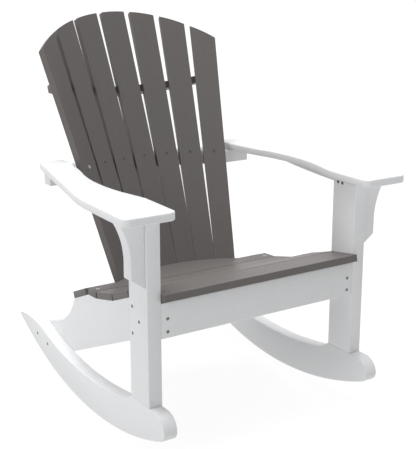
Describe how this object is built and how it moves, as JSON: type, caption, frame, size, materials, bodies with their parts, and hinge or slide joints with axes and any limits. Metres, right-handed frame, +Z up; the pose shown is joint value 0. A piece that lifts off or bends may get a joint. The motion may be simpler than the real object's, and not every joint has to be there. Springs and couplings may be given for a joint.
{
  "type": "rocking adirondack chair",
  "caption": "Rocking adirondack chair with a fanned slat back, curved slat seat, broad flat arms on bracketed posts, and two arc-shaped rockers.",
  "frame": {"origin": "on the floor, on the chair's middle plane, halfway between the front ends and the rear ends of the rockers", "axes": "+Z up, +Y towards the chair's back, the sitter faces -Y, +X towards the right side seen from the front; the chair is mirrored about X = 0"},
  "size_m": [0.756, 0.8061, 0.9312],
  "materials": {
    "white_lumber": "white plastic lumber, satin, faint brushed grain",
    "charcoal_lumber": "warm charcoal plastic lumber, satin, faint brushed grain",
    "screws": "satin stainless steel",
    "dowels": "plain sanded wood, hidden in the joint"
  },
  "bodies": {
    "root": {"apron_screws": "screws", "arm_bracket_left": "white_lumber", "arm_bracket_right": "white_lumber", "arm_left": "white_lumber", "arm_rail_left": "white_lumber", "arm_rail_right": "white_lumber", "arm_rail_screws_left": "screws", "arm_rail_screws_right": "screws", "arm_right": "white_lumber", "arm_screws_left": "screws", "arm_screws_right": "screws", "arm_to_back_rail_screws": "screws", "back_cleat": "charcoal_lumber", "back_slat_1": "charcoal_lumber", "back_slat_2": "charcoal_lumber", "back_slat_3": "charcoal_lumber", "back_slat_4": "charcoal_lumber", "back_slat_5": "charcoal_lumber", "back_slat_6": "charcoal_lumber", "back_slat_7": "charcoal_lumber", "back_to_cleat_screws": "screws", "back_to_lower_rail_screws": "screws", "bracket_dowels_left": "dowels", "bracket_dowels_right": "dowels", "front_apron": "white_lumber", "front_post_left": "white_lumber", "front_post_right": "white_lumber", "lower_back_rail": "white_lumber", "post_foot_screws_left": "screws", "post_foot_screws_right": "screws", "post_screws_left": "screws", "post_screws_right": "screws", "rocker_left": "white_lumber", "rocker_right": "white_lumber", "rocker_screws_left": "screws", "rocker_screws_right": "screws", "seat_slat_fourth": "charcoal_lumber", "seat_slat_front": "charcoal_lumber", "seat_slat_rear": "charcoal_lumber", "seat_slat_screws": "screws", "seat_slat_second": "charcoal_lumber", "seat_slat_third": "charcoal_lumber", "seat_stringer_left": "white_lumber", "seat_stringer_right": "white_lumber", "upper_back_rail": "charcoal_lumber", "upper_rail_to_back_screws": "screws"}
  },
  "joints": []
}
